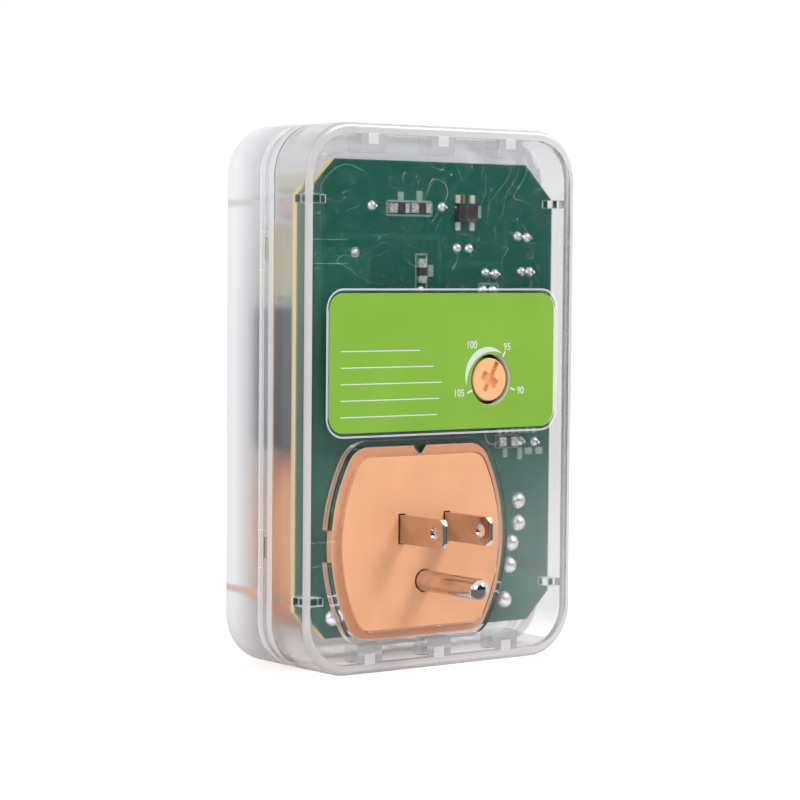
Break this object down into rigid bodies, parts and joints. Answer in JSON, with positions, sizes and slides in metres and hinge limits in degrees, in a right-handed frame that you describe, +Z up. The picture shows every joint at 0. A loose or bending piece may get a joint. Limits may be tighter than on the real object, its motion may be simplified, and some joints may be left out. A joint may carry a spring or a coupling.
{
  "type": "appliance voltage protector",
  "caption": "Plug-in voltage protector: clear snap housing round a circuit board and relay, grounded plug behind, grounded socket in front, screwdriver-set threshold knob.",
  "frame": {"origin": "on the plug's face, midway between the two blades", "axes": "-Y the way the blades point, +Y out of the socket, +Z up the tall side, +X to the right seen from the plug side"},
  "size_m": [0.076, 0.054, 0.1208],
  "materials": {
    "clear_plastic": "polished clear",
    "frosted_plastic": "finely frosted",
    "orange_plastic": "satin",
    "label_film": "printed, satin",
    "nickel_plate": "polished",
    "contact_brass": "rolled",
    "board_laminate": "solder resist",
    "relay_plastic": "satin",
    "black_plastic": "moulded",
    "ivory_plastic": "moulded",
    "white_plastic": "moulded",
    "film_case": "dull",
    "snubber_case": "dull",
    "pink_coating": "dipped",
    "blue_coating": "dipped",
    "can_sleeve": "shrunk sleeve",
    "red_lens": "tinted",
    "yellow_lens": "tinted",
    "green_lens": "tinted",
    "resistor_coating": "lacquered",
    "solder": "bright"
  },
  "bodies": {
    "housing": {"rear_shell": "clear_plastic", "front_shell": "frosted_plastic", "label_plate": "label_film", "plug_base": "orange_plastic", "line_blade": "nickel_plate", "neutral_blade": "nickel_plate", "ground_pin": "nickel_plate", "trimmer_base": "black_plastic", "trimmer_cover": "black_plastic", "circuit_board": "board_laminate", "relay_base": "black_plastic", "relay_case": "relay_plastic", "socket_face": "orange_plastic", "socket_body": "orange_plastic", "line_contact": "contact_brass", "neutral_contact": "contact_brass", "ground_contact": "contact_brass", "film_capacitor": "film_case", "snubber_capacitor": "snubber_case", "input_varistor": "pink_coating", "output_varistor": "blue_coating", "filter_capacitor": "can_sleeve", "timing_capacitor": "can_sleeve", "led_red": "red_lens", "led_yellow": "yellow_lens", "led_green": "green_lens", "led_spacers": "white_plastic", "control_chip": "black_plastic", "driver_transistor": "black_plastic", "rectifier_diodes": "black_plastic", "axial_resistors": "resistor_coating", "dropper_resistor": "resistor_coating", "chip_resistors": "black_plastic", "regulator_chip": "black_plastic", "solder_joints": "solder"},
    "knob": {"adjuster_knob": "orange_plastic", "trimmer_rotor": "ivory_plastic"}
  },
  "joints": [
    {"name": "knob_turn", "type": "hinge", "parent": "housing", "child": "knob", "pos_m": [0.01885, 0.0026, 0.0326], "axis": [0, -1, 0], "range_deg": [-80, 143]}
  ]
}
